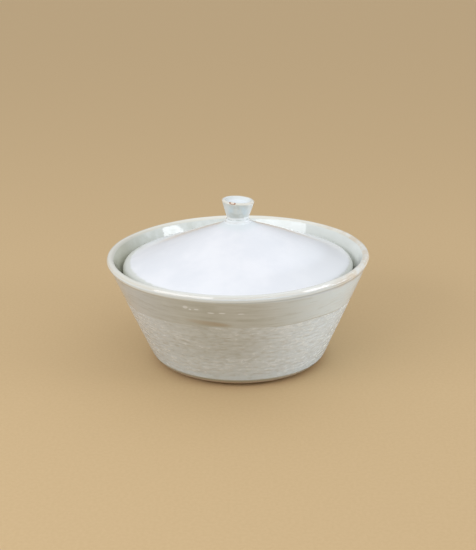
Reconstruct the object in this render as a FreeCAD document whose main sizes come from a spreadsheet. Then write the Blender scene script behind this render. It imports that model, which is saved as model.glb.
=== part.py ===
import FreeCAD
import Part
import Sketcher
import math
import os

# A lidded serving dish of thrown stoneware: a flared bowl with a gallery inside its rim,
# a coned lid that drops into the gallery, and a cupped knob luted on top of the lid.
# The origin is the centre of the foot ring's underside, and +Z is up.

# Driving sizes in millimetres, and slopes in degrees.
SIZES = {
    # bowl
    "rim_radius": 107.5,
    "rim_height": 90.3,
    "wall": 5.5,
    "flare": 23.2,
    "floor": 7.0,
    "floor_rounding": 14.0,
    "base_rounding": 9.5,
    # foot ring
    "foot_inset": 8.9,
    "foot_height": 1.6,
    "foot_width": 6.0,
    "foot_rounding": 0.8,
    # gallery, the ledge inside the wall that carries the lid
    "gallery_depth": 20.8,
    "gallery_width": 9.0,
    "gallery_thickness": 4.5,
    "gallery_slope": 9.0,
    "gallery_rounding": 1.2,
    "gallery_foot_rounding": 12.0,
    # lid
    "lid_gap": 0.8,
    "lid_side": 13.1,
    "lid_slope": 21.3,
    "lid_wall": 5.5,
    "lid_edge_width": 9.5,
    "lid_shoulder_rounding": 5.0,
    "lid_edge_rounding": 5.0,
    "lid_inner_rounding": 1.0,
    "lid_hollow_rounding": 6.0,
    "lid_crown_radius": 14.0,
    "lid_crown_rounding": 8.0,
    # knob
    "knob_radius": 13.2,
    "knob_height": 19.6,
    "knob_lip": 2.6,
    "knob_waist_radius": 8.9,
    "knob_waist_height": 3.4,
    "knob_foot_radius": 11.6,
    "knob_foot_edge": 1.0,
    "knob_waist_rounding": 3.5,
    "knob_dish_radius": 7.0,
    "knob_dish_depth": 3.0,
    "knob_dish_rounding": 2.5,
    "knob_shelf": 0.4,
}

SMALL = 0.001

# Places worked out from the driving sizes, as text that the sketches' constraints are bound to.
COS = "cos(dims.flare * 1deg)"
SIN = "sin(dims.flare * 1deg)"
TAN = "tan(dims.flare * 1deg)"
SLOPE = "tan(dims.lid_slope * 1deg)"

# bowl: the lip is a half round on the wall's end, square to the wall
LIP_X = "(dims.rim_radius - dims.wall / 2)"
LIP_Z = "(dims.rim_height - dims.wall / 2)"
LIP_OUT = (f"{LIP_X} + dims.wall / 2 * {COS}", f"{LIP_Z} - dims.wall / 2 * {SIN}")
LIP_IN = (f"{LIP_X} - dims.wall / 2 * {COS}", f"{LIP_Z} + dims.wall / 2 * {SIN}")


def outer_wall(height):
    """The radius of the wall's outside at a height."""
    return f"({LIP_OUT[0]} - ({LIP_OUT[1]} - ({height})) * {TAN})"


def inner_wall(height):
    """The radius of the wall's inside at a height."""
    return f"({LIP_IN[0]} - ({LIP_IN[1]} - ({height})) * {TAN})"


BASE_RADIUS = outer_wall("dims.foot_height")
FOOT_RADIUS = f"({BASE_RADIUS} - dims.foot_inset)"
FLOOR_Z = "(dims.foot_height + dims.floor)"
SEAT_Z = "(dims.rim_height - dims.gallery_depth)"
SEAT_RADIUS = inner_wall(SEAT_Z)
GALLERY_RADIUS = f"({SEAT_RADIUS} - dims.gallery_width)"
GALLERY_UNDER_Z = f"({SEAT_Z} - dims.gallery_thickness)"
GALLERY_FOOT_Z = f"({GALLERY_UNDER_Z} - dims.gallery_slope)"

# lid: its lower rounding clears the flared wall by the gap, measured square to the wall
LID_RADIUS = (
    f"({SEAT_RADIUS} + dims.lid_edge_rounding"
    f" - (dims.lid_edge_rounding * (1 - {SIN}) + dims.lid_gap) / {COS})"
)
LID_EDGE_Z = f"({SEAT_Z} + dims.lid_side)"
LID_INNER_RADIUS = f"({LID_RADIUS} - dims.lid_edge_width)"
LID_PLATFORM_RADIUS = "(dims.knob_foot_radius + dims.knob_shelf)"


def lid_top(radius):
    """The height of the lid's top at a radius."""
    return f"({LID_EDGE_Z} + ({LID_RADIUS} - ({radius})) * {SLOPE})"


def lid_under(radius):
    """The height of the lid's underside at a radius."""
    return f"({lid_top(radius)} - dims.lid_wall / cos(dims.lid_slope * 1deg))"


# knob: it stands on the flat top of the lid
KNOB_Z = lid_top(LID_PLATFORM_RADIUS)
KNOB_TOP_Z = f"({KNOB_Z} + dims.knob_height)"
KNOB_LIP_X = "(dims.knob_radius - dims.knob_lip / 2)"
KNOB_LIP_Z = f"({KNOB_TOP_Z} - dims.knob_lip / 2)"
KNOB_DISH_Z = f"({KNOB_TOP_Z} - dims.knob_dish_depth)"
KNOB_WAIST_Z = f"({KNOB_Z} + dims.knob_waist_height)"


def fill_sheet(doc):
    """Puts the driving sizes in a sheet, one aliased cell each."""
    sheet = doc.addObject("Spreadsheet::Sheet", "dims")
    for row, (name, size) in enumerate(SIZES.items(), start=1):
        sheet.set(f"A{row}", name)
        sheet.set(f"B{row}", str(size))
        sheet.setAlias(f"B{row}", name)
    doc.recompute()
    return sheet


def number(doc, text):
    """What a bound text comes to now, in millimetres."""
    found = doc.getObject("dims").evalExpression(text)
    return float(getattr(found, "Value", found))


def origin_plane(body, role):
    """One of the body's own origin planes."""
    return next(f for f in body.Origin.OriginFeatures if f.Role == role)


def bind(sketch, doc, constraint, name, text):
    """Adds a constraint with a size, named and bound to its text."""
    index = sketch.addConstraint(constraint)
    sketch.renameConstraint(index, name)
    sketch.setExpression(f"Constraints.{name}", text)


def pin(sketch, doc, geometry, corner, label):
    """Ties the start of a line, or a point, to its radius and height."""
    for kind, text, axis in (("DistanceX", corner[0], -2), ("DistanceY", corner[1], -1)):
        size = number(doc, text)
        if abs(size) < SMALL:
            sketch.addConstraint(Sketcher.Constraint("PointOnObject", geometry, 1, axis))
        else:
            constraint = Sketcher.Constraint(kind, -1, 1, geometry, 1, size)
            bind(sketch, doc, constraint, f"{label}_{kind[-1].lower()}", text)


def arc_about(centre, first, second):
    """The short arc from one point to another about a centre, and whether it runs backwards.

    A sketch's arcs run anticlockwise, so one that is drawn the other way is given from its end.
    """
    backwards = (first - centre).cross(second - centre).z < 0
    start, end = (second, first) if backwards else (first, second)
    angles = [math.atan2(p.y - centre.y, p.x - centre.x) for p in (start, end)]
    if angles[1] < angles[0]:
        angles[1] += 2 * math.pi
    circle = Part.Circle(centre, FreeCAD.Vector(0, 0, 1), (first - centre).Length)
    return Part.ArcOfCircle(circle, *angles), backwards


def round_corner(sketch, doc, label, corner, before, after, point, ends):
    """Rounds the corner between two lines with an arc that stays tangent to both."""
    radius = number(doc, corner[2])
    towards = [(end - point).normalize() for end in ends]
    half = towards[0].getAngle(towards[1]) / 2
    first, second = (point + side * (radius / math.tan(half)) for side in towards)
    inward = (towards[0] + towards[1]).normalize()
    edge, backwards = arc_about(point + inward * (radius / math.sin(half)), first, second)
    arc = sketch.addGeometry(edge, False)
    near, far = (2, 1) if backwards else (1, 2)
    sketch.addConstraint(Sketcher.Constraint("Tangent", before, 2, arc, near))
    sketch.addConstraint(Sketcher.Constraint("Tangent", arc, far, after, 1))
    bind(sketch, doc, Sketcher.Constraint("Radius", arc, radius), f"{label}_radius", corner[2])
    mark = sketch.addGeometry(Part.Point(point), True)
    for line in (before, after):
        sketch.addConstraint(Sketcher.Constraint("PointOnObject", mark, 1, line))
    pin(sketch, doc, mark, corner, label)


def centre_arc(sketch, doc, line, label, centre):
    """Holds the middle of a round line by the coordinate that lies more across it."""
    chord = sketch.Geometry[line].EndPoint - sketch.Geometry[line].StartPoint
    kind, text = ("DistanceY", centre[1]) if abs(chord.x) > abs(chord.y) else ("DistanceX", centre[0])
    constraint = Sketcher.Constraint(kind, -1, 1, line, 3, number(doc, text))
    bind(sketch, doc, constraint, f"{label}_centre", text)


def draw(body, doc, corners, rounds):
    """Draws a closed outline of corners, each a radius, a height and perhaps a rounding.

    rounds gives the centre of each line that is an arc, under the corner where it starts.
    """
    sketch = body.newObject("Sketcher::SketchObject", "outline")
    sketch.AttachmentSupport = [(origin_plane(body, "XZ_Plane"), "")]
    sketch.MapMode = "FlatFace"
    labels = list(corners)
    points = [FreeCAD.Vector(number(doc, c[0]), number(doc, c[1]), 0) for c in corners.values()]
    count = len(points)
    for i, start in enumerate(points):
        end = points[(i + 1) % count]
        if labels[i] in rounds:
            x, z = (number(doc, text) for text in rounds[labels[i]])
            centre = FreeCAD.Vector(x, z, 0)
            chord = end - start
            bulge = FreeCAD.Vector(chord.y, -chord.x, 0).normalize() * (start - centre).Length
            sketch.addGeometry(Part.Arc(start, centre + bulge, end), False)
        else:
            sketch.addGeometry(Part.LineSegment(start, end), False)
    for i, (label, corner) in enumerate(corners.items()):
        before = (i - 1) % count
        if len(corner) == 3:
            ends = (points[before], points[(i + 1) % count])
            round_corner(sketch, doc, label, corner, before, i, points[i], ends)
        else:
            sketch.addConstraint(Sketcher.Constraint("Coincident", before, 2, i, 1))
            pin(sketch, doc, i, corner, label)
        if label in rounds:
            centre_arc(sketch, doc, i, label, rounds[label])
    doc.recompute()
    return sketch


def throw(doc, label, corners, rounds):
    """Turns an outline about the vertical axis."""
    body = doc.addObject("PartDesign::Body", f"{label}_body")
    body.Label = label
    body.Placement = FreeCAD.Placement()
    sketch = draw(body, doc, corners, rounds)
    turned = body.newObject("PartDesign::Revolution", "turned")
    turned.Profile = sketch
    turned.ReferenceAxis = (sketch, ["V_Axis"])
    turned.Angle = 360
    return body


def make_bowl(doc):
    """The bowl, with its turned foot ring and the gallery thrown inside its wall."""
    inner_foot = f"{FOOT_RADIUS} - dims.foot_width"
    corners = {
        "recess_centre": ("0", "dims.foot_height"),
        "recess_edge": (inner_foot, "dims.foot_height"),
        "foot_inside": (inner_foot, "0", "dims.foot_rounding"),
        "foot_outside": (FOOT_RADIUS, "0", "dims.foot_rounding"),
        "foot_top": (FOOT_RADIUS, "dims.foot_height"),
        "base": (BASE_RADIUS, "dims.foot_height", "dims.base_rounding"),
        "lip_outside": LIP_OUT,
        "lip_widest": ("dims.rim_radius", LIP_Z),
        "lip_top": (LIP_X, "dims.rim_height"),
        "lip_inside": LIP_IN,
        "seat": (SEAT_RADIUS, SEAT_Z, "dims.gallery_rounding"),
        "gallery_edge": (GALLERY_RADIUS, SEAT_Z, "dims.gallery_rounding"),
        "gallery_under": (GALLERY_RADIUS, GALLERY_UNDER_Z, "dims.gallery_rounding"),
        "gallery_foot": (inner_wall(GALLERY_FOOT_Z), GALLERY_FOOT_Z, "dims.gallery_foot_rounding"),
        "floor_edge": (inner_wall(FLOOR_Z), FLOOR_Z, "dims.floor_rounding"),
        "floor_centre": ("0", FLOOR_Z),
    }
    rounds = {label: (LIP_X, LIP_Z) for label in ("lip_outside", "lip_widest", "lip_top")}
    return throw(doc, "bowl", corners, rounds)


def make_lid(doc):
    """The lid, a shallow cone hollowed beneath, whose flat edge rests on the gallery."""
    crown_z = lid_under("dims.lid_crown_radius")
    corners = {
        "crown_centre": ("0", crown_z),
        "crown_edge": ("dims.lid_crown_radius", crown_z, "dims.lid_crown_rounding"),
        "hollow_edge": (LID_INNER_RADIUS, lid_under(LID_INNER_RADIUS), "dims.lid_hollow_rounding"),
        "edge_inside": (LID_INNER_RADIUS, SEAT_Z, "dims.lid_inner_rounding"),
        "edge_outside": (LID_RADIUS, SEAT_Z, "dims.lid_edge_rounding"),
        "shoulder": (LID_RADIUS, LID_EDGE_Z, "dims.lid_shoulder_rounding"),
        "platform_edge": (LID_PLATFORM_RADIUS, KNOB_Z),
        "platform_centre": ("0", KNOB_Z),
    }
    return throw(doc, "lid", corners, {})


def make_knob(doc):
    """The knob, thrown on its own: a coved foot luted to the lid, a waist, and a flared, dished cup."""
    corners = {
        "joint_centre": ("0", KNOB_Z),
        "joint_edge": ("dims.knob_foot_radius", KNOB_Z),
        "foot_edge": ("dims.knob_foot_radius", f"{KNOB_Z} + dims.knob_foot_edge"),
        "waist": ("dims.knob_waist_radius", KNOB_WAIST_Z, "dims.knob_waist_rounding"),
        "lip_outside": ("dims.knob_radius", KNOB_LIP_Z),
        "lip_inside": ("dims.knob_radius - dims.knob_lip", KNOB_LIP_Z),
        "dish_edge": ("dims.knob_dish_radius", KNOB_DISH_Z, "dims.knob_dish_rounding"),
        "dish_centre": ("0", KNOB_DISH_Z),
    }
    return throw(doc, "knob", corners, {"lip_outside": (KNOB_LIP_X, KNOB_LIP_Z)})


def check(doc, pieces):
    """Stops if anything in the document failed, or if a piece isn't one valid solid."""
    for thing in doc.Objects:
        if "Invalid" in thing.State or "Error" in thing.State:
            raise RuntimeError(f"{thing.Label} failed: {thing.State}")
    for piece in pieces:
        shape = piece.Shape
        if shape.isNull() or not shape.isValid() or len(shape.Solids) != 1:
            raise RuntimeError(f"{piece.Label} isn't one valid solid")


def main():
    """Builds the pieces and writes one file for each."""
    os.makedirs("parts", exist_ok=True)
    doc = FreeCAD.newDocument("lidded_dish")
    fill_sheet(doc)
    pieces = [make_bowl(doc), make_lid(doc), make_knob(doc)]
    doc.recompute()
    check(doc, pieces)
    for piece in pieces:
        box = piece.Shape.optimalBoundingBox(False)
        piece.Shape.exportStep(f"parts/{piece.Label}.step")
        print(
            f"{piece.Label}: {box.XLength:.2f} x {box.YLength:.2f} x {box.ZLength:.2f},"
            f" z {box.ZMin:.2f} to {box.ZMax:.2f}, volume {piece.Shape.Volume:.0f}"
        )


main()
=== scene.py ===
import math

import bpy
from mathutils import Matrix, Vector, noise


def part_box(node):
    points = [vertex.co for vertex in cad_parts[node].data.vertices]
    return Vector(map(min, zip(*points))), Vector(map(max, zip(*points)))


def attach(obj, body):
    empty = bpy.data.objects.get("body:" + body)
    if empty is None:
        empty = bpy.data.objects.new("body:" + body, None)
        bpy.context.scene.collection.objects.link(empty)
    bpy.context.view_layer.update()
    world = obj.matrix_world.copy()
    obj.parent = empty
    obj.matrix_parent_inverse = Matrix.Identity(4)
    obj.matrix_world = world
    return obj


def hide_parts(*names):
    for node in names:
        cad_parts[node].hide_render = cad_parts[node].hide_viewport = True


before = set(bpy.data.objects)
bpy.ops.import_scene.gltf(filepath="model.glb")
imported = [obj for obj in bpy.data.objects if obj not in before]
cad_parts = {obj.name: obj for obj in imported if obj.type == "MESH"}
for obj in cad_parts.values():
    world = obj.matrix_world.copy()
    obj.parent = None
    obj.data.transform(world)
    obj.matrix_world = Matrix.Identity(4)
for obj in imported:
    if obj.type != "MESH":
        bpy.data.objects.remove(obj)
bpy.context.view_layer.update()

# A lidded serving bowl of thrown stoneware. The bowl, the lid and the knob each replace the CAD
# node of the same name, at its size and place, with the wavering surface, brushed slip and glaze
# of the real ware. Lengths are in metres.

MM = 0.001

# Sizes taken from the frame
_, (RIM, _, RIM_TOP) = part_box("bowl")
(_, _, SEAT), (LID_RADIUS, _, LID_TOP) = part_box("lid")
_, (KNOB_RADIUS, _, KNOB_TOP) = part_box("knob")

# Bowl
WALL = 5.5 * MM
FLARE = math.radians(23.2)
LEAN = math.tan(FLARE)
OUTER_SKIN = 2 * MM
FLOOR_TOP = 8.6 * MM
FLOOR_FILLET = 14 * MM
FOOT_HEIGHT = 1.6 * MM
FOOT_RADIUS = 62.0 * MM
FOOT_WIDTH = 6.0 * MM
FOOT_ROUND = 0.8 * MM
BASE_ROUND = 9.5 * MM

# The bowl's lip: its roll, the step up to it from the wall, and the soft bevel on its shoulder
LIP_DEPTH = 6.6 * MM
LIP_PROUD = 0.45 * MM
LIP_STEP = 1.6 * MM
LIP_FOOT_ROUND = 2.0 * MM
LIP_STEP_ROUND = 1.4 * MM
LIP_ROUND = 0.97 * WALL / 2
BEVEL_DOWN = 1.45 * MM
BEVEL_ACROSS = 1.77 * MM
BEVEL_ROUND = 1.3 * MM

# The ledge inside the bowl that the lid sits on
LEDGE_WIDTH = 9.0 * MM
LEDGE_THICK = 4.5 * MM
LEDGE_SLOPE = 9.0 * MM
LEDGE_ROUND = 1.2 * MM
LEDGE_UNDER_ROUND = 1.6 * MM
LEDGE_FILLET = 10 * MM

# Lid
LID_SIDE = 13.1 * MM
LID_SLOPE = math.tan(math.radians(21.3))
LID_WALL = 5.9 * MM
LID_EDGE = 9.5 * MM
LID_ROUND = 5 * MM
HOLLOW_ROUND = 6 * MM
HOLLOW_EDGE_ROUND = 1 * MM
CROWN = 14.0 * MM
CROWN_ROUND = 8 * MM
COLLAR = 18.0 * MM
COLLAR_ROUND = 14 * MM

# Knob
KNOB_FOOT = 11.6 * MM
KNOB_SEAM = 0.2 * MM
FOOT_EDGE = 1.0 * MM
FOOT_EDGE_ROUND = 0.3 * MM
WAIST_RADIUS = 8.9 * MM
KNOB_LIP = 2.6 * MM
KNOB_LIP_ROUND = 0.48 * KNOB_LIP
KNOB_FLARE = math.radians(15)
DISH_RADIUS = 7.6 * MM
DISH_DEPTH = 2.8 * MM
DISH_ROUND = 2.5 * MM

# The corners of the knob's neck: how far out from the waist, how far above the lid, and the rounding
NECK = (
    (0.9 * MM, 1.5 * MM, 0.8 * MM),
    (1.4 * MM, 3.1 * MM, 0.9 * MM),
    (0, 4.9 * MM, 1.6 * MM),
)

# How finely the pieces are turned: steps round the axis, and the longest row of each outline
BOWL_STEPS = 384
LID_STEPS = 256
KNOB_STEPS = 128
BRUSHED_ROW = 0.55 * MM
BOWL_ROW = 2.2 * MM
LID_ROW = 1.4 * MM
KNOB_ROW = 0.5 * MM
ROUND_STEPS = 6
MOST_HALVINGS = 12
TOUCH = 0.01 * MM
CREASE = math.radians(50)

# How the ware came out of the kiln: wavering, its foot swayed to a side, its rim and knob leaning
WAVER = 1.2 * MM
WAVER_SIZE = 70 * MM
WAVER_DEPTH = 2
WAVER_FROM = 20 * MM
SWAY = 1.2 * MM
RIM_LEAN = math.radians(0.89)
KNOB_LEAN = math.radians(-4.6)
SEAT_LEAN = math.tan(RIM_LEAN) * SEAT / RIM_TOP

# The smooth band above the brushed wall. Its step is faint on the left and runs out below the lip
BAND_BOTTOM = 61.0 * MM
BAND_SAG = 4.0 * MM
BAND_DRIFT = 1.2 * MM
BAND_DRIFT_SCALE = 30
BAND_DRIFT_START = 3
BAND_STEP = 0.45 * MM
BAND_REACH = 5.0 * MM
BAND_EDGE = BAND_REACH / 4
BAND_RUN_OUT = 8 * MM
BAND_FAINT = 0.3
BAND_FAINT_FROM = -10 * MM
BAND_FAINT_REACH = 50 * MM

# The noises of the brushed slip: each one's strength, its scale per metre across and up, its start
STROKES = (0.7, 95, 380, (0, 0, 0))
DABS = (0.9, 270, 560, (0, 0, 31))
PATCHES = (0.7, 18, 50, (7, 0, 0))

# How thick the brushed slip lies: its height, its load in front and at the sides, and its fade below
SLIP_HEIGHT = 0.2 * MM
SLIP_LOAD = 0.1
SLIP_SIDE_LOAD = 0.25
SLIP_GAIN = 1.6
SLIP_FADE = 9 * MM

# The slip is thinnest across this stretch of the front, and as thick as elsewhere a reach from it
SLIP_THINNEST = 0.6
SLIP_THIN_LEFT = -40 * MM
SLIP_THIN_RIGHT = 0.0
SLIP_THIN_REACH = 90 * MM

# White skips of the brush on the band: across, up, half the length and half the height, all in mm
SKIPS = (
    (-39.2, 77.6, 1.9, 1.3), (-35.6, 76.1, 1.0, 0.7), (-30.8, 76.6, 1.8, 0.6),
    (-20.0, 74.5, 2.6, 0.6), (-11.6, 74.8, 2.5, 0.6), (2.5, 74.5, 2.5, 0.5),
)

# A tan smear on the band's edge: across, up, half its length and height, and how it slants
SMEAR_ACROSS = -22 * MM
SMEAR_UP = 64.3 * MM
SMEAR_LONG = 18 * MM
SMEAR_TALL = 2.4 * MM
SMEAR_SLANT = 0.07

# A burst pinhole in the knob's lip
PINHOLE_ACROSS = -4.2 * MM
PINHOLE_UP = KNOB_TOP - 0.5 * MM
PINHOLE_LONG = 2.7 * MM
PINHOLE_TALL = 1.1 * MM

# Camera
FRAME_HEIGHT_PX = 550
FOCAL_PX = 1083
CAMERA_DISTANCE = 0.9
CAMERA_RISE = math.radians(19.39)
AIM_HEIGHT = 69.4 * MM
AIM_SHIFT_PX = 0.37

# Gloss
GLAZE_IOR = 1.6
BOWL_ROUGHNESS = 0.05
LID_ROUGHNESS = 0.08
KNOB_ROUGHNESS = 0.06
CLAY_ROUGHNESS = 0.65
FLOOR_ROUGHNESS = 0.9

# Relief that is too fine for the mesh
BOWL_SWELL = 0.03 * MM
BRUSH_RELIEF = 0.08 * MM
LID_SWELL = 0.05 * MM
CLAY_RELIEF = 0.1 * MM
KNOB_RELIEF = 0.25 * MM

FLOOR_SIZE = 14


def outer(height):
    """The radius of the wall's outside at a height."""
    lip_centre = (RIM - WALL / 2, RIM_TOP - WALL / 2)
    corner = (lip_centre[0] + WALL / 2 * math.cos(FLARE), lip_centre[1] - WALL / 2 * math.sin(FLARE))
    return corner[0] - (corner[1] - height) * LEAN


def inner(height):
    """The radius of the wall's inside at a height."""
    return outer(height) - WALL / math.cos(FLARE)


def on_outside(radius, height):
    """Whether a place on the bowl is on its outside, above the foot."""
    return radius > outer(height) - OUTER_SKIN and height > FOOT_HEIGHT


def lid_top(radius):
    """The height of the lid's top at a radius."""
    return SEAT + LID_SIDE + (LID_RADIUS - radius) * LID_SLOPE


def held(value, low=0.0, high=1.0):
    """A number kept between two others."""
    return min(high, max(low, value))


class Wire:
    """A node's output, which sums and products can be written with: each adds a Math node."""

    def __init__(self, glaze, socket):
        self.glaze = glaze
        self.socket = socket

    def math(self, operation, *terms, clamp=False):
        settings = {"operation": operation, "use_clamp": clamp}
        return self.glaze.node("ShaderNodeMath", settings, dict(enumerate(terms)))

    def __add__(self, other):
        return self.math("ADD", self, other)

    def __radd__(self, other):
        return self.math("ADD", other, self)

    def __sub__(self, other):
        return self.math("SUBTRACT", self, other)

    def __rsub__(self, other):
        return self.math("SUBTRACT", other, self)

    def __mul__(self, other):
        return self.math("MULTIPLY", self, other)

    def __rmul__(self, other):
        return self.math("MULTIPLY", other, self)

    def __truediv__(self, other):
        return self.math("DIVIDE", self, other)

    def __pow__(self, other):
        return self.math("POWER", self, other)

    def held(self):
        """Kept between 0 and 1."""
        return self.math("ADD", self, 0.0, clamp=True)

    def larger(self, other):
        return self.math("MAXIMUM", self, other)

    def size(self):
        return self.math("ABSOLUTE", self)

    def rise(self, low, high):
        """Goes smoothly from 0 at low to 1 at high, or from 1 to 0 where low is the larger."""
        flip = low > high
        settings = {"interpolation_type": "SMOOTHSTEP"}
        first, last = (high, low) if flip else (low, high)
        ends = {"From Min": first, "From Max": last, "To Min": float(flip), "To Max": 1.0 - flip}
        return self.glaze.node("ShaderNodeMapRange", settings, {"Value": self, **ends})


class Glaze:
    """A material or sky and the nodes that colour it. Patterns follow the piece's own coordinates."""

    def __init__(self, owner, coordinates="Object"):
        self.material = owner
        owner.use_nodes = True
        self.tree = owner.node_tree
        self.tree.nodes.clear()
        self.place = self.node("ShaderNodeTexCoord", out=coordinates)
        axes = self.node("ShaderNodeSeparateXYZ", {}, {"Vector": self.place}).socket.node
        self.x, self.y, self.z = (Wire(self, socket) for socket in axes.outputs)
        self.radius = (self.x * self.x + self.y * self.y) ** 0.5

    def node(self, kind, settings=None, inputs=None, out=0):
        """Adds a node: its settings first, then the values or links of its sockets."""
        made = self.tree.nodes.new(kind)
        for name, value in (settings or {}).items():
            setattr(made, name, value)
        for name, value in (inputs or {}).items():
            socket = made.inputs[name]
            if isinstance(value, Wire):
                self.tree.links.new(value.socket, socket)
            else:
                socket.default_value = value
        return Wire(self, made.outputs[out]) if made.outputs else made

    def noise(self, scale, detail=2.0, roughness=0.5):
        """Soft noise from 0 to 1. scale is per metre, along each axis or all alike."""
        along = scale if isinstance(scale, tuple) else (scale, scale, scale)
        place = self.node("ShaderNodeMapping", {}, {"Vector": self.place, "Scale": along})
        values = {"Vector": place, "Scale": 1.0, "Detail": detail, "Roughness": roughness}
        return self.node("ShaderNodeTexNoise", {}, values, out="Fac")

    def rings(self, scale):
        """Soft rings about the axis, as a turning tool leaves. scale is per metre of radius."""
        values = {"W": self.radius * scale, "Scale": 1.0, "Detail": 2.0}
        return self.node("ShaderNodeTexNoise", {"noise_dimensions": "1D"}, values, out="Fac")

    def attribute(self, name):
        return self.node("ShaderNodeAttribute", {"attribute_name": name}, out="Fac")

    def blend(self, under, over, amount):
        """One colour laid over another by an amount from 0 to 1."""
        settings = {"data_type": "RGBA", "clamp_factor": True}
        return self.node("ShaderNodeMix", settings, {0: amount, 6: under, 7: over}, out=2)

    def coats(self, ground, *coats):
        """A ground with coats laid over it in turn, each a colour and its amount."""
        for coat, amount in coats:
            ground = self.blend(ground, coat, amount)
        return ground

    def bump(self, height, distance, under=None):
        """A normal that leans with a height. distance is the real height of 1, in metres."""
        values = {"Height": height, "Distance": distance, "Strength": 1.0}
        if under:
            values["Normal"] = under
        return self.node("ShaderNodeBump", {}, values)

    def fire(self, skin, roughness, normal):
        """Finishes the material as glassy fired ware."""
        values = {"Base Color": skin, "Roughness": roughness, "Normal": normal, "IOR": GLAZE_IOR}
        shader = self.node("ShaderNodeBsdfPrincipled", {}, values)
        self.node("ShaderNodeOutputMaterial", {}, {"Surface": shader})
        return self.material


def colour(red, green, blue):
    """A colour given as it looks on a screen, from 0 to 255."""
    levels = (level / 255 for level in (red, green, blue))
    return tuple(((v + 0.055) / 1.055) ** 2.4 if v > 0.04045 else v / 12.92 for v in levels) + (1.0,)


def oval(across, up, long, tall):
    """0 in the middle of an oval and 1 at its edge, from how far a place is from the middle."""
    return (across / long) ** 2 + (up / tall) ** 2


def deselect():
    bpy.ops.object.select_all(action="DESELECT")


def make_active(piece):
    deselect()
    piece.select_set(True)
    bpy.context.view_layer.objects.active = piece


def pick(piece, test, kind="VERT"):
    """Selects the vertices or edges of a piece that pass a test, in edit mode."""
    bpy.ops.mesh.select_mode(type=kind)
    bpy.ops.mesh.select_all(action="DESELECT")
    bpy.ops.object.mode_set(mode="OBJECT")
    vertices = piece.data.vertices
    if kind == "VERT":
        for vertex in vertices:
            vertex.select = test(vertex.co)
    else:
        for edge in piece.data.edges:
            edge.select = test(*(vertices[i].co for i in edge.vertices))
    bpy.ops.object.mode_set(mode="EDIT")


def round_off(piece, here, size, before, after):
    """Rounds one corner of an outline to a radius."""
    ways = [(Vector((r, 0, z)) - here).normalized() for r, z in (before, after)]
    run = size / math.tan(ways[0].angle(ways[1]) / 2)
    pick(piece, lambda place: (place - here).length < TOUCH)
    bpy.ops.mesh.bevel(offset=run, segments=ROUND_STEPS, affect="VERTICES", offset_type="OFFSET")


def refine(piece, longest):
    """Halves the outline's long edges until each is as short as it has to be at its place."""
    for _ in range(MOST_HALVINGS):
        pick(piece, lambda a, b: (a - b).length > longest((a + b) / 2), "EDGE")
        if not piece.data.total_edge_sel:
            break
        bpy.ops.mesh.subdivide(number_cuts=1)


def turn(name, corners, longest, steps):
    """A piece turned on the wheel: an outline of (radius, height, rounding) corners, spun about Z."""
    deselect()
    bpy.ops.mesh.primitive_plane_add(size=MM, location=(0, 0, 0))
    piece = bpy.context.object
    piece.name = piece.data.name = name
    bpy.ops.object.mode_set(mode="EDIT")
    bpy.ops.mesh.select_mode(type="VERT")
    bpy.ops.mesh.merge(type="CENTER")
    first = corners[0]
    bpy.ops.transform.translate(value=(first[0], 0, first[1]))
    for last, corner in zip(corners, corners[1:]):
        step = (corner[0] - last[0], 0, corner[1] - last[1])
        bpy.ops.mesh.extrude_region_move(TRANSFORM_OT_translate={"value": step})
    for before, corner, after in zip(corners, corners[1:], corners[2:]):
        if corner[2]:
            here = Vector((corner[0], 0, corner[1]))
            round_off(piece, here, corner[2], before[:2], after[:2])
    refine(piece, longest)
    bpy.ops.mesh.select_all(action="SELECT")
    bpy.ops.mesh.spin(steps=steps, angle=math.tau, center=(0, 0, 0), axis=(0, 0, 1))
    bpy.ops.mesh.select_all(action="SELECT")
    bpy.ops.mesh.remove_doubles(threshold=TOUCH / 10)
    bpy.ops.mesh.normals_make_consistent(inside=False)
    bpy.ops.object.mode_set(mode="OBJECT")
    return piece


def apply_modifiers(piece):
    make_active(piece)
    for modifier in list(piece.modifiers):
        bpy.ops.object.modifier_apply(modifier=modifier.name)


def add_waver(piece):
    """Moves a piece's surface about by soft noise, less towards the foot."""
    grip = piece.vertex_groups.new(name="grip")
    for vertex in piece.data.vertices:
        grip.add([vertex.index], held(vertex.co.z / WAVER_FROM), "REPLACE")
    texture = bpy.data.textures.new("waver", "CLOUDS")
    texture.noise_scale = WAVER_SIZE
    texture.noise_depth = WAVER_DEPTH
    texture.cloud_type = "COLOR"
    waver = piece.modifiers.new("waver", "DISPLACE")
    waver.texture = texture
    waver.texture_coords = "LOCAL"
    waver.direction = "RGB_TO_XYZ"
    waver.strength = WAVER
    waver.vertex_group = "grip"
    apply_modifiers(piece)
    bpy.data.textures.remove(texture)
    piece.vertex_groups.clear()


def lean(piece, slope, low, high, sway=0.0):
    """Tips a piece about the Y axis, from nothing at the low height to a slope at the high one,
    and slides its foot sideways."""
    deselect()
    height = high - low
    bpy.ops.object.add(type="LATTICE", location=(0, 0, low + height / 2))
    cage = bpy.context.object
    cage.scale = (2 * RIM, 2 * RIM, height)
    cage.data.points_u = cage.data.points_v = cage.data.points_w = 2
    for axis in "uvw":
        setattr(cage.data, f"interpolation_type_{axis}", "KEY_LINEAR")
    for point in cage.data.points:
        if point.co.z > 0:
            point.co_deform.z += point.co.x * 2 * RIM * slope / height
        else:
            point.co_deform.x += sway / (2 * RIM)
    bpy.context.view_layer.update()
    tip = piece.modifiers.new("lean", "LATTICE")
    tip.object = cage
    apply_modifiers(piece)
    bpy.data.objects.remove(cage)


def settle(piece):
    """Gives a piece the slight waver and lean that bowl, lid and knob share, so that they still fit."""
    add_waver(piece)
    lean(piece, math.tan(RIM_LEAN) * KNOB_TOP / RIM_TOP, 0, KNOB_TOP)


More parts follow.
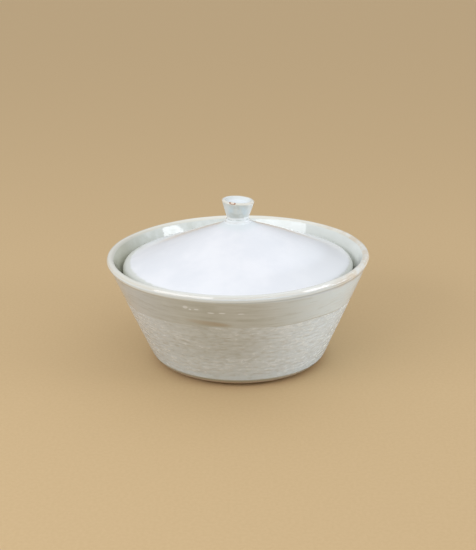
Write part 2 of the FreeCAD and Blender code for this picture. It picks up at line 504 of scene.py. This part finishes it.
def finish_piece(piece, body, material):
    """Smooths a piece, glazes it, and puts it in the place of the CAD node of its name."""
    make_active(piece)
    bpy.ops.object.shade_smooth_by_angle(angle=CREASE)
    piece.data.materials.clear()
    piece.data.materials.append(material)
    node = piece.name.removeprefix("glazed_")
    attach(piece, body)
    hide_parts(node)


def band_edge(x, y):
    """The height where the smooth band ends and the brushed wall begins, lower at the sides."""
    drift = noise.noise(Vector((x * BAND_DRIFT_SCALE, y * BAND_DRIFT_SCALE, BAND_DRIFT_START)))
    return BAND_BOTTOM - BAND_SAG * (x / RIM) ** 2 + BAND_DRIFT * drift


def strewn(place, strength, across, up, start):
    """Soft noise about 0 at a place."""
    x, y, z = place
    return strength * noise.noise(Vector((x * across + start[0], y * across + start[1], z * up + start[2])))


def slip_at(place):
    """How thickly the brushed slip lies at a place on the bowl, from 0 to 1."""
    x, _, z = place
    lie = sum(strewn(place, *kind) for kind in (STROKES, DABS, PATCHES))
    lie += SLIP_LOAD + SLIP_SIDE_LOAD * abs(x) / RIM
    beyond = max(x - SLIP_THIN_RIGHT, SLIP_THIN_LEFT - x, 0.0) / SLIP_THIN_REACH
    return held(lie * SLIP_GAIN * held(SLIP_THINNEST + beyond) * held(z / SLIP_FADE))


def lay_slip(piece):
    """Raises the smooth band and the brushed slip from the wall, and keeps for the glaze how thick
    the slip is and how far each place is above the band's edge, in reaches of the band."""
    above, slip, raised = [], [], []
    for vertex in piece.data.vertices:
        x, y, z = vertex.co
        if on_outside(math.hypot(x, y), z):
            height = z - band_edge(x, y)
            band = held(height / BAND_EDGE + 0.5)
            above.append(height / BAND_REACH)
            slip.append(slip_at(vertex.co) * (1 - band))
        else:
            band = 0.0
            above.append(1.0)
            slip.append(0.0)
        below_lip = held((RIM_TOP - LIP_DEPTH - z) / BAND_RUN_OUT)
        crisp = held((x - BAND_FAINT_FROM) / BAND_FAINT_REACH, BAND_FAINT)
        raised.append(max(band * below_lip * crisp, slip[-1] * SLIP_HEIGHT / BAND_STEP))
    group = piece.vertex_groups.new(name="raised")
    for index, amount in enumerate(raised):
        group.add([index], amount, "REPLACE")
    lift = piece.modifiers.new("raised", "DISPLACE")
    lift.strength = BAND_STEP
    lift.mid_level = 0.0
    lift.vertex_group = "raised"
    apply_modifiers(piece)
    piece.vertex_groups.clear()
    for name, amounts in (("slip", slip), ("above_edge", above)):
        piece.data.attributes.new(name, "FLOAT", "POINT").data.foreach_set("value", amounts)


def lip_corners(radius, top, thick, flare):
    """The two corners of a rolled lip, whose roundings together make its half circle."""
    middle = Vector((radius - thick / 2, top - thick / 2))
    across = Vector((math.cos(flare), -math.sin(flare))) * thick / 2
    along = Vector((math.sin(flare), math.cos(flare))) * thick / 2
    return middle + along + across, middle + along - across


def make_bowl():
    """The bowl: turned foot, brushed wall, smooth band, rolled lip, and the ledge for the lid."""
    lip_out, lip_in = lip_corners(RIM, RIM_TOP, WALL, FLARE)
    bevel_low = lip_out - Vector((math.sin(FLARE), math.cos(FLARE))) * BEVEL_DOWN
    bevel_high = lip_out - Vector((math.cos(FLARE), -math.sin(FLARE))) * BEVEL_ACROSS
    lip_foot = RIM_TOP - LIP_DEPTH
    ledge = inner(SEAT) - LEDGE_WIDTH
    ledge_foot = SEAT - LEDGE_THICK - LEDGE_SLOPE
    corners = [
        (0, FOOT_HEIGHT, 0),
        (FOOT_RADIUS - FOOT_WIDTH, FOOT_HEIGHT, FOOT_ROUND),
        (FOOT_RADIUS - FOOT_WIDTH, 0, FOOT_ROUND),
        (FOOT_RADIUS, 0, FOOT_ROUND),
        (FOOT_RADIUS, FOOT_HEIGHT, 0),
        (outer(FOOT_HEIGHT), FOOT_HEIGHT, BASE_ROUND),
        (outer(lip_foot) - LIP_PROUD, lip_foot, LIP_FOOT_ROUND),
        (outer(lip_foot + LIP_STEP), lip_foot + LIP_STEP, LIP_STEP_ROUND),
        (*bevel_low, BEVEL_ROUND),
        (*bevel_high, BEVEL_ROUND),
        (*lip_in, LIP_ROUND),
        (inner(SEAT), SEAT, LEDGE_ROUND),
        (ledge, SEAT, LEDGE_ROUND),
        (ledge, SEAT - LEDGE_THICK, LEDGE_UNDER_ROUND),
        (inner(ledge_foot), ledge_foot, LEDGE_FILLET),
        (inner(FLOOR_TOP), FLOOR_TOP, FLOOR_FILLET),
        (0, FLOOR_TOP, 0),
    ]
    piece = turn(
        "glazed_bowl",
        corners,
        lambda place: BRUSHED_ROW if on_outside(place.x, place.z) else BOWL_ROW,
        BOWL_STEPS,
    )
    lay_slip(piece)
    settle(piece)
    lean(piece, 0.0, 0, RIM_TOP, SWAY)
    finish_piece(piece, "bowl", bowl_glaze())


def make_lid():
    """The lid: a shallow cone with a rolled shoulder, drawn up to the knob, and hollow beneath."""
    hollow = LID_RADIUS - LID_EDGE
    corners = [
        (0, lid_top(CROWN) - LID_WALL, 0),
        (CROWN, lid_top(CROWN) - LID_WALL, CROWN_ROUND),
        (hollow, lid_top(hollow) - LID_WALL, HOLLOW_ROUND),
        (hollow, SEAT, HOLLOW_EDGE_ROUND),
        (LID_RADIUS, SEAT, LID_ROUND),
        (LID_RADIUS, SEAT + LID_SIDE, LID_ROUND),
        (COLLAR, lid_top(COLLAR), COLLAR_ROUND),
        (KNOB_FOOT + KNOB_SEAM, LID_TOP + FOOT_EDGE, 0),
        (0, LID_TOP + FOOT_EDGE, 0),
    ]
    piece = turn("glazed_lid", corners, lambda place: LID_ROW, LID_STEPS)
    settle(piece)
    finish_piece(piece, "lid", lid_glaze())


def make_knob():
    """The knob: a coved foot, a waist, and a flared cup with a shallow dish in its top."""
    lip_out, lip_in = lip_corners(KNOB_RADIUS, KNOB_TOP, KNOB_LIP, KNOB_FLARE)
    corners = [
        (0, LID_TOP, 0),
        (KNOB_FOOT, LID_TOP, 0),
        (KNOB_FOOT, LID_TOP + FOOT_EDGE, FOOT_EDGE_ROUND),
        *((WAIST_RADIUS + out, LID_TOP + up, rounding) for out, up, rounding in NECK),
        (*lip_out, KNOB_LIP_ROUND),
        (*lip_in, KNOB_LIP_ROUND),
        (DISH_RADIUS, KNOB_TOP - DISH_DEPTH, DISH_ROUND),
        (0, KNOB_TOP - DISH_DEPTH, 0),
    ]
    piece = turn("glazed_knob", corners, lambda place: KNOB_ROW, KNOB_STEPS)
    settle(piece)
    lean(piece, math.tan(KNOB_LEAN), LID_TOP, KNOB_TOP)
    finish_piece(piece, "lid", knob_glaze())


# Colours of the bowl's wall
GREY_GREEN = colour(178, 181, 174)
GREY_GREEN_PALE = colour(188, 192, 188)
# The cool colours of the wall's sides: partly a bluer slip, partly painted light that makes the sides
# lighter than the front
COOL_AND_PAINTED_LIGHT_LEFT = colour(202, 211, 221)
COOL_AND_PAINTED_LIGHT_RIGHT = colour(219, 233, 240)
STREAK_PALE = colour(206, 211, 211)
STREAK_DARK = colour(160, 160, 149)
SLIP_WASH = colour(214, 229, 243)
SLIP_LOW = colour(208, 220, 227)
SLIP_HOLLOW = colour(168, 165, 152)
SLIP_WHITE = colour(217, 222, 225)
SLIP_WHITE_RIGHT = colour(230, 242, 248)
# A painted shadow along the step at the band's edge
BAND_PAINTED_SHADOW = colour(168, 164, 148)
POOL_BLUE = colour(207, 221, 229)
TAN = colour(170, 157, 136)
OLIVE = colour(156, 150, 124)

# Colours of the bowl's inside
INSIDE_GREEN = colour(224, 228, 221)
INSIDE_PALE = colour(235, 239, 235)
INSIDE_LEFT = colour(200, 200, 182)
INSIDE_RIGHT = colour(236, 239, 234)
# Low on the inside wall by the ledge: partly pooled glaze, partly painted shade in the gap under the lid
INSIDE_LEDGE_POOL_AND_SHADE = colour(178, 178, 158)
INSIDE_FLOOR = colour(190, 200, 194)

# Colours of the bowl's lip
CREAM = colour(229, 229, 222)
CREAM_BACK = colour(238, 235, 222)
CREAM_LEFT = colour(222, 219, 205)
LIP_BLUE = colour(226, 242, 255)
LIP_SHADE = colour(196, 210, 222)
LIP_WORN = colour(220, 203, 176)

# Colours of the lid
LID_WHITE = colour(243, 244, 247)
LID_CLOUD = colour(236, 238, 242)
# A painted shade on the lid's right side
LID_PAINTED_SHADE_RIGHT = colour(230, 234, 237)
LID_COLLAR = colour(228, 236, 238)
LID_BLUSH = colour(232, 218, 204)
# The shoulder's grey-green: partly glaze, partly painted shade where the shoulder turns away from the
# light, more on the right
LID_SHOULDER_GLAZE_AND_SHADE = colour(221, 223, 216)
LID_SHOULDER_SHADE_RIGHT = colour(212, 214, 207)
LID_UNDER = colour(214, 218, 210)

# Colours of the knob
KNOB_GREY = colour(196, 203, 199)
KNOB_PALE = colour(211, 218, 215)
KNOB_DRIP = colour(202, 216, 219)
KNOB_BLOT = colour(200, 218, 225)
# A painted sheen along the knob's flanks
KNOB_FLANK_SHEEN = colour(222, 224, 219)
# White glaze pooled at the knob's foot: partly real, partly a painted highlight
KNOB_POOL_AND_HIGHLIGHT = colour(244, 249, 251)
# A painted dark reflection ring on the knob's foot, between its highlights
KNOB_PAINTED_DARK_RING = colour(190, 200, 196)
KNOB_CREAM = colour(232, 229, 217)
KNOB_WORN = colour(222, 204, 178)
KNOB_CUP = colour(230, 235, 233)
KNOB_DISH = colour(240, 246, 250)
PINHOLE_EDGE = colour(158, 112, 86)
# The pinhole's pale centre: partly bare clay, partly a painted highlight
PINHOLE_CLAY_AND_HIGHLIGHT = colour(236, 218, 198)

# Colours of bare clay, the floor, the sky and the lamps
CLAY = colour(190, 174, 156)
CLAY_DARK = colour(162, 142, 120)
FLOOR_TONE = colour(208, 179, 134)
FLOOR_SHADE = colour(202, 172, 127)
HORIZON = colour(180, 179, 177)
OVERHEAD = colour(237, 239, 242)
DAYLIGHT = colour(244, 247, 255)
COOL_DAYLIGHT = colour(224, 237, 255)

# Where the bowl's glaze changes: each is a place where a change starts and one where it is complete
RIGHT_SIDE = (5 * MM, 85 * MM)
LEFT_SIDE = (-35 * MM, -95 * MM)
RIGHT_OF_MIDDLE = (0, 40 * MM)
WALL_MIDDLE = (-0.5 * MM, 0.5 * MM)
LOW_WALL = (42 * MM, 12 * MM)
POOL_ABOVE_FOOT = (14 * MM, 10 * MM)
OLIVE_LINE = (8.2 * MM, 6.6 * MM)
OLIVE_RIGHT_DROP = 1 * MM
BARE_FOOT = (5.8 * MM, 5.0 * MM)
BARE_FOOT_RADIUS = (74 * MM, 73 * MM)
BARE_FOOT_RIGHT_DROP = 1.2 * MM
SKIP_FRONT = (0, -9 * MM)
SMEAR_FRONT = (-50 * MM, -70 * MM)
SMEAR_STRONGER = (-35 * MM, -10 * MM)
INSIDE_FRONT = (70 * MM, 20 * MM)
ABOVE_LEDGE = (SEAT + 11 * MM, SEAT + 2 * MM)
INSIDE_MIDDLE = (60 * MM, 20 * MM)
CREAM_TOP = (RIM_TOP - 2.6 * MM, RIM_TOP - 1.2 * MM)
CREAM_ROLL = (RIM_TOP - 7.2 * MM, RIM_TOP - 5.4 * MM)
TOWARDS_BACK = (0, 60 * MM)
LIP_FRONT = (RIM_TOP - 1.7 * MM, RIM_TOP - 3.0 * MM)
LIP_BELOW = (RIM_TOP - 4.6 * MM, RIM_TOP - 5.6 * MM)
LIP_WORN_SIDE = (66 * MM, 92 * MM)
SEAT_DEPTH = (1.2 * MM, 0.8 * MM)
SEAT_OUT = (92 * MM, 91 * MM)
SEAT_IN = (84 * MM, 86 * MM)

# Where it changes at the band's edge, in reaches of the band above that edge
BELOW_BAND = (0.1, -0.1)
JUST_BELOW_BAND = (-1.3, -0.3)
# Where the painted shadow along the band's step lies
BAND_SHADOW_LINE = (0.12, 0.02)

# Where the lid's glaze changes, in the same way
LID_RIGHT_SIDE = (20 * MM, 90 * MM)
COLLAR_FADE = (20 * MM, 13 * MM)
BLUSH_OUT = (66 * MM, 90 * MM)
BLUSH_BACK = (0, 40 * MM)
SHOULDER_RADIUS = (88.9 * MM, 91.2 * MM)
SHOULDER_RIGHT = (0, 80 * MM)
SHOULDER_MIDDLE = (1.6 * MM, -2 * MM)
SHOULDER_RAGGED = 3 * MM
LID_MIDDLE = (0.5 * MM, -0.5 * MM)
LID_BARE = (SEAT + 1.6 * MM, SEAT + 1.0 * MM)

# Where the knob's glaze changes, in the same way
KNOB_SIDES = (5 * MM, 10 * MM)
KNOB_POOL_TOP = (LID_TOP + 7 * MM, LID_TOP + 5.2 * MM)
KNOB_RING_HEIGHT = LID_TOP + 4.2 * MM
KNOB_RING_DEPTH = (0.7 * MM, 0.2 * MM)
KNOB_LIP_TOP = (KNOB_TOP - 2.0 * MM, KNOB_TOP - 1.1 * MM)
CUP_RADIUS = (KNOB_RADIUS - 1.9 * MM, KNOB_RADIUS - 2.7 * MM)
CUP_DEPTH = (KNOB_TOP - 6 * MM, KNOB_TOP - 4 * MM)
DISH_FADE = (DISH_RADIUS + 1.6 * MM, DISH_RADIUS)
PINHOLE_FRONT = (-9.5 * MM, -8 * MM)

# A blue blot on each side of the knob: across, up, half its width and height
BLOT_ACROSS = 6.6 * MM
BLOT_UP = KNOB_TOP - 6.5 * MM
BLOT_WIDE = 3.4 * MM
BLOT_TALL = 3.6 * MM

# Grains of noise, per metre across and up
STREAK_GRAIN = (48, 48, 430)
BRUSH_GRAIN = (150, 150, 480)
DAB_GRAIN = (260, 260, 560)
SAND_GRAIN = (380, 380, 760)
PATCH_GRAIN = (22, 22, 60)
DRIP_GRAIN = (200, 200, 190)
WALL_GRAIN = 16
INSIDE_GRAIN = 90
WEAR_GRAIN = 45
SWELL_GRAIN = 60
LID_SWELL_GRAIN = 70
CLOUD_GRAIN = 30
BLUSH_GRAIN = 26
RAGGED_GRAIN = 160
MOTTLE_GRAIN = 170
CLAY_GRAIN = 1100
CLAY_RINGS = 900
THROWING_RINGS = 260
FLOOR_GRAIN = 420


def bare_clay(g):
    """Turned clay without glaze: its speckled colour and its relief."""
    speck = g.noise(CLAY_GRAIN, 1)
    return g.blend(CLAY, CLAY_DARK, speck.rise(0.5, 0.75)), speck + g.rings(CLAY_RINGS)


def smear(g, streak):
    """How strongly the tan smear on the band's edge shows: more to the right, and in streaks."""
    along = g.x - SMEAR_ACROSS
    out = oval(along, g.z - SMEAR_UP + along * SMEAR_SLANT, SMEAR_LONG, SMEAR_TALL)
    strength = 0.35 + g.x.rise(*SMEAR_STRONGER) * 0.3 + streak * 0.25
    return out.rise(1.4, 0.1) * g.y.rise(*SMEAR_FRONT) * strength


def skip_coats(g, white):
    """The white skips of the brush on the front of the band."""
    for across, up, long, tall in SKIPS:
        out = oval(g.x / MM - across, g.z / MM - up, long, tall)
        yield white, out.rise(1.5, 0.5) * g.y.rise(*SKIP_FRONT) * 0.9


def wall_glaze(g, left, right, outside):
    """The wall's colour, roughness and relief: streaked glaze, over brushed slip below the band."""
    above = g.attribute("above_edge")
    brushed = above.rise(*BELOW_BAND)
    beneath = above.rise(*JUST_BELOW_BAND) * brushed * right
    streak = g.noise(STREAK_GRAIN, 3, 0.6)
    grain = g.noise(SAND_GRAIN, 3, 0.6)
    brush = g.noise(BRUSH_GRAIN, 3, 0.5)
    patches = g.noise(PATCH_GRAIN, 2).rise(0.4, 0.65)
    dabs = brush.rise(0.5, 0.66) * 0.6 + g.noise(DAB_GRAIN, 2).rise(0.52, 0.66) * 0.6
    dabs = dabs * brushed * (0.3 + 0.5 * right.larger(left * 0.4) + 0.35 * patches + 0.5 * beneath)
    slip = (g.attribute("slip") * (0.15 + grain * 0.5) + dabs).held()
    # The thin slip wash is heavier at the sides: partly slip, partly painted light on the sides
    wash = brushed * (0.16 + left * 0.2 + g.x.rise(*RIGHT_OF_MIDDLE) * 0.24)
    hollows = brush.rise(0.5, 0.3) * brushed * (0.4 - right * 0.25)
    # A painted shadow line along the band's step, on the right
    edge = above.size().rise(*BAND_SHADOW_LINE) * right * outside
    pool = g.z.rise(*POOL_ABOVE_FOOT) * (0.25 + brush * 0.5 + right * 0.3)
    white = g.blend(SLIP_WHITE, SLIP_WHITE_RIGHT, right)
    skin = g.coats(
        g.blend(GREY_GREEN, GREY_GREEN_PALE, g.noise(WALL_GRAIN, 3).rise(0.35, 0.65)),
        # Cooler, lighter sides: partly bluer slip, partly painted light
        (COOL_AND_PAINTED_LIGHT_LEFT, left * (0.8 + brushed * 0.2)),
        (COOL_AND_PAINTED_LIGHT_RIGHT, right),
        (STREAK_PALE, streak.rise(0.45, 0.7) * 0.32),
        (STREAK_DARK, streak.rise(0.48, 0.3) * (0.32 - right * 0.14)),
        (SLIP_WASH, wash),
        (SLIP_LOW, g.z.rise(*LOW_WALL) * brushed * 0.6),
        (SLIP_HOLLOW, hollows),
        (white, slip * 0.85),
        (BAND_PAINTED_SHADOW, edge * 0.7),
        (POOL_BLUE, pool.held()),
        *skip_coats(g, white),
        (TAN, smear(g, streak)),
    )
    roughness = slip * 0.15 + brushed * outside * (0.08 + streak * 0.12)
    relief = (grain + dabs) * outside * brushed
    return skin, roughness, relief


def inside_glaze(g, left, right):
    """The inside's colour: paler than the wall, darker at the left and on the floor, and darker by the
    ledge, partly pooled glaze and partly painted shade.
    """
    return g.coats(
        g.blend(INSIDE_GREEN, INSIDE_PALE, g.noise(INSIDE_GRAIN, 3, 0.6).rise(0.35, 0.65)),
        (INSIDE_LEFT, left * g.y.rise(*INSIDE_FRONT) * 0.9),
        (INSIDE_RIGHT, right * 0.8),
        # Partly pooled glaze, partly painted shade in the gap above the ledge
        (INSIDE_LEDGE_POOL_AND_SHADE, g.z.rise(*ABOVE_LEDGE) * 0.7),
        (INSIDE_FLOOR, g.radius.rise(*INSIDE_MIDDLE) * 0.6),
    )


def lip_coats(g, left, outside):
    """The lip's coats: cream where the glaze thins, bluish on its front, worn at the right."""
    level = g.z - g.x * math.tan(RIM_LEAN)
    lip = level.rise(*CREAM_TOP).larger(g.z.rise(*CREAM_ROLL) * outside)
    worn = lip * g.noise(WEAR_GRAIN, 4, 0.65).rise(0.36, 0.6) * g.x.rise(*LIP_WORN_SIDE)
    return (
        (g.blend(CREAM, CREAM_BACK, g.y.rise(*TOWARDS_BACK)), lip * 0.9),
        (CREAM_LEFT, lip * left * 0.6),
        (LIP_BLUE, level.rise(*LIP_FRONT) * lip * 0.8),
        (LIP_SHADE, level.rise(*LIP_BELOW) * lip),
        (LIP_WORN, worn * 0.8),
    )


def bowl_glaze():
    """Grey-green glaze over brushed white slip, cream where it thins on the lip, bare at the foot
    and where the lid rests."""
    g = Glaze(bpy.data.materials.new("bowl_glaze"))
    right = g.x.rise(*RIGHT_SIDE)
    left = g.x.rise(*LEFT_SIDE)
    middle = outer(RIM_TOP) - WALL / 2
    outside = (g.radius - middle + (RIM_TOP - g.z) * LEAN).rise(*WALL_MIDDLE)
    olive = (g.z + right * OLIVE_RIGHT_DROP).rise(*OLIVE_LINE) * outside
    foot = (g.z + right * BARE_FOOT_RIGHT_DROP).rise(*BARE_FOOT) * g.radius.rise(*BARE_FOOT_RADIUS)
    seat = (g.z - g.x * SEAT_LEAN - SEAT).size().rise(*SEAT_DEPTH)
    seat = seat * g.radius.rise(*SEAT_OUT) * g.radius.rise(*SEAT_IN)
    bare = foot.larger(seat * (1 - outside))
    clay, turning = bare_clay(g)
    wall, roughness, relief = wall_glaze(g, left, right, outside)
    skin = g.coats(
        inside_glaze(g, left, right),
        (wall, outside),
        *lip_coats(g, left, outside),
        (OLIVE, olive * 0.85),
        (clay, bare),
    )
    soft = g.bump(g.noise(SWELL_GRAIN, 2), BOWL_SWELL)
    fine = g.bump(relief + turning * bare, BRUSH_RELIEF, soft)
    return g.fire(skin, BOWL_ROUGHNESS + roughness + bare * CLAY_ROUGHNESS, fine)


def lid_glaze():
    """Bright bluish white glaze, faintly mottled, with painted shade on its right side, grey-green on the
    shoulder, partly glaze and partly painted shade, bare where it rests.
    """
    g = Glaze(bpy.data.materials.new("lid_glaze"))
    cloud = g.noise(CLOUD_GRAIN, 4, 0.6)
    across, back = SHOULDER_MIDDLE
    from_middle = ((g.x - across) ** 2 + (g.y - back) ** 2) ** 0.5
    ragged = from_middle + (g.noise(RAGGED_GRAIN, 3, 0.7) - 0.5) * SHOULDER_RAGGED
    shoulder = ragged.rise(*SHOULDER_RADIUS)
    blush = g.noise(BLUSH_GRAIN, 3).rise(0.5, 0.68) * g.radius.rise(*BLUSH_OUT) * g.y.rise(*BLUSH_BACK)
    above = g.z + g.radius * LID_SLOPE - lid_top(0) + LID_WALL / 2
    under = above.rise(*LID_MIDDLE)
    bare = (g.z - g.x * SEAT_LEAN).rise(*LID_BARE)
    clay, turning = bare_clay(g)
    skin = g.coats(
        g.blend(LID_WHITE, LID_CLOUD, cloud.rise(0.35, 0.65)),
        # Painted shade towards the lid's right
        (LID_PAINTED_SHADE_RIGHT, g.x.rise(*LID_RIGHT_SIDE) * 0.7),
        (LID_COLLAR, g.radius.rise(*COLLAR_FADE) * 0.7),
        (LID_BLUSH, blush * 0.5),
        # Partly glaze, partly painted shade on the shoulder
        (g.blend(LID_SHOULDER_GLAZE_AND_SHADE, LID_SHOULDER_SHADE_RIGHT, g.x.rise(*SHOULDER_RIGHT)), shoulder),
        (LID_UNDER, under * (1 - shoulder)),
        (clay, bare),
    )
    soft = g.bump(g.noise(LID_SWELL_GRAIN, 2) + g.rings(THROWING_RINGS) * 0.5, LID_SWELL)
    fine = g.bump(turning * bare, CLAY_RELIEF, soft)
    return g.fire(skin, LID_ROUGHNESS + cloud * 0.08 + bare * CLAY_ROUGHNESS, fine)


def knob_glaze():
    """Mottled blue-grey glaze with a painted sheen on its flanks, white where it pools at the foot and in
    the dish, at the foot partly a painted highlight with a painted dark ring, cream on the lip, with a
    burst pinhole in the lip's front whose pale centre is partly a painted highlight."""
    g = Glaze(bpy.data.materials.new("knob_glaze"))
    cloud = g.noise(MOTTLE_GRAIN, 3, 0.6)
    drip = g.noise(DRIP_GRAIN, 2)
    tilted = g.z - g.x * math.tan(RIM_LEAN + KNOB_LEAN)
    blot = oval((g.x.size() - BLOT_ACROSS).size(), g.z - BLOT_UP, BLOT_WIDE, BLOT_TALL)
    pool = g.z.rise(*KNOB_POOL_TOP)
    ring = (g.z - KNOB_RING_HEIGHT).size().rise(*KNOB_RING_DEPTH)
    top = tilted.rise(*KNOB_LIP_TOP)
    cup = g.radius.rise(*CUP_RADIUS) * g.z.rise(*CUP_DEPTH)
    pinhole = oval(g.x - PINHOLE_ACROSS, tilted - PINHOLE_UP, PINHOLE_LONG, PINHOLE_TALL)
    pinhole = pinhole + 3 * g.y.rise(*PINHOLE_FRONT)
    skin = g.coats(
        g.blend(KNOB_GREY, KNOB_PALE, cloud.rise(0.38, 0.62)),
        (KNOB_DRIP, drip.rise(0.48, 0.62) * 0.5),
        (KNOB_BLOT, blot.rise(1.8, 0.1) * (0.1 + cloud * 0.7)),
        # Painted sheen on the flanks
        (KNOB_FLANK_SHEEN, g.x.size().rise(*KNOB_SIDES) * 0.6),
        # Pooled glaze at the foot, partly a painted highlight
        (KNOB_POOL_AND_HIGHLIGHT, pool * (0.75 + cloud * 0.3)),
        # Painted dark reflection ring on the foot
        (KNOB_PAINTED_DARK_RING, ring * cloud.rise(0.35, 0.6) * 0.8),
        (KNOB_CREAM, top * 0.9),
        (KNOB_WORN, top * cloud.rise(0.5, 0.68) * 0.6),
        (KNOB_CUP, cup),
        (KNOB_DISH, g.radius.rise(*DISH_FADE) * cup),
        (PINHOLE_EDGE, pinhole.rise(1.1, 0.7)),
        # Pale centre of the pinhole, partly a painted highlight
        (PINHOLE_CLAY_AND_HIGHLIGHT, pinhole.rise(0.5, 0.15)),
    )
    soft = g.bump(cloud * 0.5 - pinhole.rise(1.2, 0.2), KNOB_RELIEF)
    return g.fire(skin, KNOB_ROUGHNESS + top * 0.06, soft)


def softbox(name, azimuth, elevation, distance, size, power, tint=DAYLIGHT, spread=180):
    """A soft lamp aimed at the bowl. Azimuth 0 is the camera's side, and grows to the right. Angles
    are in degrees and the power in watts. A small spread keeps its light off the floor near it."""
    a, e = math.radians(azimuth), math.radians(elevation)
    towards = Vector((math.sin(a) * math.cos(e), -math.cos(a) * math.cos(e), math.sin(e)))
    lamp = bpy.data.lights.new(name, "AREA")
    lamp.shape = "RECTANGLE"
    lamp.size, lamp.size_y = size
    lamp.energy = power
    lamp.color = tint[:3]
    lamp.spread = math.radians(spread)
    holder = bpy.data.objects.new(name, lamp)
    holder.location = Vector((0, 0, RIM_TOP)) + towards * distance
    holder.rotation_euler = (-towards).to_track_quat("-Z", "Y").to_euler()
    holder.visible_camera = False
    bpy.context.scene.collection.objects.link(holder)


def light():
    """A soft box on each side in front, a low board to the right, and a pale sky, brightest overhead."""
    softbox("left_box", azimuth=-50, elevation=27, distance=1.3, size=(1.15, 0.42), power=6.4)
    softbox("right_box", azimuth=70, elevation=22.5, distance=1.3, size=(0.55, 0.22), power=2.4)
    softbox(
        "side_board",
        azimuth=80,
        elevation=-1.6,
        distance=1.1,
        size=(0.8, 0.09),
        power=0.52,
        tint=COOL_DAYLIGHT,
        spread=60,
    )
    sky = Glaze(bpy.data.worlds.new("pale_sky"), "Generated")
    bpy.context.scene.world = sky.material
    tone = sky.blend(HORIZON, OVERHEAD, sky.z.rise(0, 0.9))
    glow = sky.node("ShaderNodeBackground", {}, {"Color": tone, "Strength": 1.0})
    sky.node("ShaderNodeOutputWorld", {}, {"Surface": glow})


def lay_floor():
    """A wide plain floor in pale sand, just under the foot ring."""
    deselect()
    bpy.ops.mesh.primitive_plane_add(size=FLOOR_SIZE, location=(0, 0, 0))
    floor = bpy.context.object
    floor.name = "floor"
    g = Glaze(bpy.data.materials.new("pale_floor"))
    tone = g.blend(FLOOR_TONE, FLOOR_SHADE, g.noise(FLOOR_GRAIN, 2).rise(0.3, 0.7) * 0.5)
    values = {"Base Color": tone, "Roughness": FLOOR_ROUGHNESS}
    shader = g.node("ShaderNodeBsdfPrincipled", {}, values)
    g.node("ShaderNodeOutputMaterial", {}, {"Surface": shader})
    floor.data.materials.append(g.material)


def place_camera():
    camera = bpy.data.objects.new("camera", bpy.data.cameras.new("camera"))
    back = Vector((0, -math.cos(CAMERA_RISE), math.sin(CAMERA_RISE)))
    camera.location = Vector((0, 0, AIM_HEIGHT)) + back * CAMERA_DISTANCE
    camera.rotation_euler = (math.pi / 2 - CAMERA_RISE, 0, 0)
    camera.data.lens = FOCAL_PX / FRAME_HEIGHT_PX * camera.data.sensor_width
    camera.data.shift_x = AIM_SHIFT_PX / FRAME_HEIGHT_PX
    bpy.context.scene.collection.objects.link(camera)
    bpy.context.scene.camera = camera


place_camera()
light()
lay_floor()
make_bowl()
make_lid()
make_knob()
bpy.context.scene.view_settings.view_transform = "Standard"
